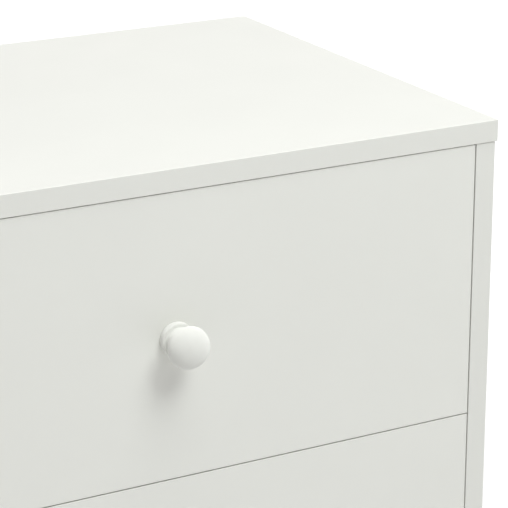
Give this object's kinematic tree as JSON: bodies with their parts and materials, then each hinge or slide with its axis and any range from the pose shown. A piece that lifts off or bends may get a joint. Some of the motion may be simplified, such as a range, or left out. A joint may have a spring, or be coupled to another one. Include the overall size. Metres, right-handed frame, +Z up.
{
  "type": "chest of drawers",
  "caption": "Small white chest of drawers in edge-banded board, with plain inset fronts, round knobs, roller runners and a recessed plinth.",
  "frame": {"origin": "on the floor, under the middle of the whole piece with its knobs", "axes": "+Z up; +X to the right seen from the front; the drawer fronts face -Y and the drawers open along -Y"},
  "size_m": [0.52, 0.4254, 0.7],
  "materials": {
    "white_foil": "white melamine foil on board with matching edge banding, satin",
    "drawer_foil": "white paper foil on board, matt",
    "white_hardboard": "thin hardboard, lacquered white on the show face",
    "knob_lacquer": "white, softly glossy",
    "runner_enamel": "white epoxy-coated sheet steel, satin",
    "roller_nylon": "off-white nylon",
    "glide_plastic": "pale grey polyethylene, matt",
    "zinc_steel": "bright zinc plate"
  },
  "bodies": {
    "carcass": {"top_panel": "white_foil", "right_side_panel": "white_foil", "left_side_panel": "white_foil", "bottom_panel": "white_foil", "plinth_rail": "white_foil", "back_panel": "white_hardboard", "front_left_glide": "glide_plastic", "rear_left_glide": "glide_plastic", "front_right_glide": "glide_plastic", "rear_right_glide": "glide_plastic", "wall_bracket": "zinc_steel", "wall_bracket_screw": "zinc_steel", "bottom_left_cabinet_runner": "runner_enamel", "bottom_right_cabinet_runner": "runner_enamel", "middle_left_cabinet_runner": "runner_enamel", "middle_right_cabinet_runner": "runner_enamel", "top_left_cabinet_runner": "runner_enamel", "top_right_cabinet_runner": "runner_enamel"},
    "bottom_drawer": {"bottom_drawer_front": "white_foil", "bottom_drawer_left_side": "drawer_foil", "bottom_drawer_right_side": "drawer_foil", "bottom_drawer_back": "drawer_foil", "bottom_drawer_bottom": "white_hardboard", "bottom_knob": "knob_lacquer", "bottom_knob_screw": "zinc_steel", "bottom_left_drawer_runner": "runner_enamel", "bottom_right_drawer_runner": "runner_enamel"},
    "bottom_left_cabinet_roller": {"bottom_left_cabinet_roller": "roller_nylon"},
    "bottom_left_drawer_roller": {"bottom_left_drawer_roller": "roller_nylon"},
    "bottom_right_cabinet_roller": {"bottom_right_cabinet_roller": "roller_nylon"},
    "bottom_right_drawer_roller": {"bottom_right_drawer_roller": "roller_nylon"},
    "middle_drawer": {"middle_drawer_front": "white_foil", "middle_drawer_left_side": "drawer_foil", "middle_drawer_right_side": "drawer_foil", "middle_drawer_back": "drawer_foil", "middle_drawer_bottom": "white_hardboard", "middle_knob": "knob_lacquer", "middle_knob_screw": "zinc_steel", "middle_left_drawer_runner": "runner_enamel", "middle_right_drawer_runner": "runner_enamel"},
    "middle_left_cabinet_roller": {"middle_left_cabinet_roller": "roller_nylon"},
    "middle_left_drawer_roller": {"middle_left_drawer_roller": "roller_nylon"},
    "middle_right_cabinet_roller": {"middle_right_cabinet_roller": "roller_nylon"},
    "middle_right_drawer_roller": {"middle_right_drawer_roller": "roller_nylon"},
    "top_drawer": {"top_drawer_front": "white_foil", "top_drawer_left_side": "drawer_foil", "top_drawer_right_side": "drawer_foil", "top_drawer_back": "drawer_foil", "top_drawer_bottom": "white_hardboard", "top_knob": "knob_lacquer", "top_knob_screw": "zinc_steel", "top_left_drawer_runner": "runner_enamel", "top_right_drawer_runner": "runner_enamel"},
    "top_left_cabinet_roller": {"top_left_cabinet_roller": "roller_nylon"},
    "top_left_drawer_roller": {"top_left_drawer_roller": "roller_nylon"},
    "top_right_cabinet_roller": {"top_right_cabinet_roller": "roller_nylon"},
    "top_right_drawer_roller": {"top_right_drawer_roller": "roller_nylon"}
  },
  "joints": [
    {"name": "bottom_drawer_slide", "type": "slide", "parent": "carcass", "child": "bottom_drawer", "axis": [0, -1, 0], "range_m": [0, 0.27]},
    {"name": "bottom_left_cabinet_roller_spin", "type": "hinge", "parent": "carcass", "child": "bottom_left_cabinet_roller", "pos_m": [-0.23685, -0.15035, 0.0882], "axis": [1, 0, 0], "continuous": true},
    {"name": "bottom_left_drawer_roller_spin", "type": "hinge", "parent": "bottom_drawer", "child": "bottom_left_drawer_roller", "pos_m": [-0.23565, 0.16965, 0.0862], "axis": [1, 0, 0], "continuous": true},
    {"name": "bottom_right_cabinet_roller_spin", "type": "hinge", "parent": "carcass", "child": "bottom_right_cabinet_roller", "pos_m": [0.23685, -0.15035, 0.0882], "axis": [1, 0, 0], "continuous": true},
    {"name": "bottom_right_drawer_roller_spin", "type": "hinge", "parent": "bottom_drawer", "child": "bottom_right_drawer_roller", "pos_m": [0.23565, 0.16965, 0.0862], "axis": [1, 0, 0], "continuous": true},
    {"name": "middle_drawer_slide", "type": "slide", "parent": "carcass", "child": "middle_drawer", "axis": [0, -1, 0], "range_m": [0, 0.27]},
    {"name": "middle_left_cabinet_roller_spin", "type": "hinge", "parent": "carcass", "child": "middle_left_cabinet_roller", "pos_m": [-0.23685, -0.15035, 0.2982], "axis": [1, 0, 0], "continuous": true},
    {"name": "middle_left_drawer_roller_spin", "type": "hinge", "parent": "middle_drawer", "child": "middle_left_drawer_roller", "pos_m": [-0.23565, 0.16965, 0.2962], "axis": [1, 0, 0], "continuous": true},
    {"name": "middle_right_cabinet_roller_spin", "type": "hinge", "parent": "carcass", "child": "middle_right_cabinet_roller", "pos_m": [0.23685, -0.15035, 0.2982], "axis": [1, 0, 0], "continuous": true},
    {"name": "middle_right_drawer_roller_spin", "type": "hinge", "parent": "middle_drawer", "child": "middle_right_drawer_roller", "pos_m": [0.23565, 0.16965, 0.2962], "axis": [1, 0, 0], "continuous": true},
    {"name": "top_drawer_slide", "type": "slide", "parent": "carcass", "child": "top_drawer", "axis": [0, -1, 0], "range_m": [0, 0.27]},
    {"name": "top_left_cabinet_roller_spin", "type": "hinge", "parent": "carcass", "child": "top_left_cabinet_roller", "pos_m": [-0.23685, -0.15035, 0.5082], "axis": [1, 0, 0], "continuous": true},
    {"name": "top_left_drawer_roller_spin", "type": "hinge", "parent": "top_drawer", "child": "top_left_drawer_roller", "pos_m": [-0.23565, 0.16965, 0.5062], "axis": [1, 0, 0], "continuous": true},
    {"name": "top_right_cabinet_roller_spin", "type": "hinge", "parent": "carcass", "child": "top_right_cabinet_roller", "pos_m": [0.23685, -0.15035, 0.5082], "axis": [1, 0, 0], "continuous": true},
    {"name": "top_right_drawer_roller_spin", "type": "hinge", "parent": "top_drawer", "child": "top_right_drawer_roller", "pos_m": [0.23565, 0.16965, 0.5062], "axis": [1, 0, 0], "continuous": true}
  ],
  "couplings": [
    {"joint": "bottom_left_cabinet_roller_spin", "follows": "bottom_drawer_slide", "rad_per_m": 108.7},
    {"joint": "bottom_left_drawer_roller_spin", "follows": "bottom_drawer_slide", "rad_per_m": 108.7},
    {"joint": "bottom_right_cabinet_roller_spin", "follows": "bottom_drawer_slide", "rad_per_m": 108.7},
    {"joint": "bottom_right_drawer_roller_spin", "follows": "bottom_drawer_slide", "rad_per_m": 108.7},
    {"joint": "middle_left_cabinet_roller_spin", "follows": "middle_drawer_slide", "rad_per_m": 108.7},
    {"joint": "middle_left_drawer_roller_spin", "follows": "middle_drawer_slide", "rad_per_m": 108.7},
    {"joint": "middle_right_cabinet_roller_spin", "follows": "middle_drawer_slide", "rad_per_m": 108.7},
    {"joint": "middle_right_drawer_roller_spin", "follows": "middle_drawer_slide", "rad_per_m": 108.7},
    {"joint": "top_left_cabinet_roller_spin", "follows": "top_drawer_slide", "rad_per_m": 108.7},
    {"joint": "top_left_drawer_roller_spin", "follows": "top_drawer_slide", "rad_per_m": 108.7},
    {"joint": "top_right_cabinet_roller_spin", "follows": "top_drawer_slide", "rad_per_m": 108.7},
    {"joint": "top_right_drawer_roller_spin", "follows": "top_drawer_slide", "rad_per_m": 108.7}
  ]
}
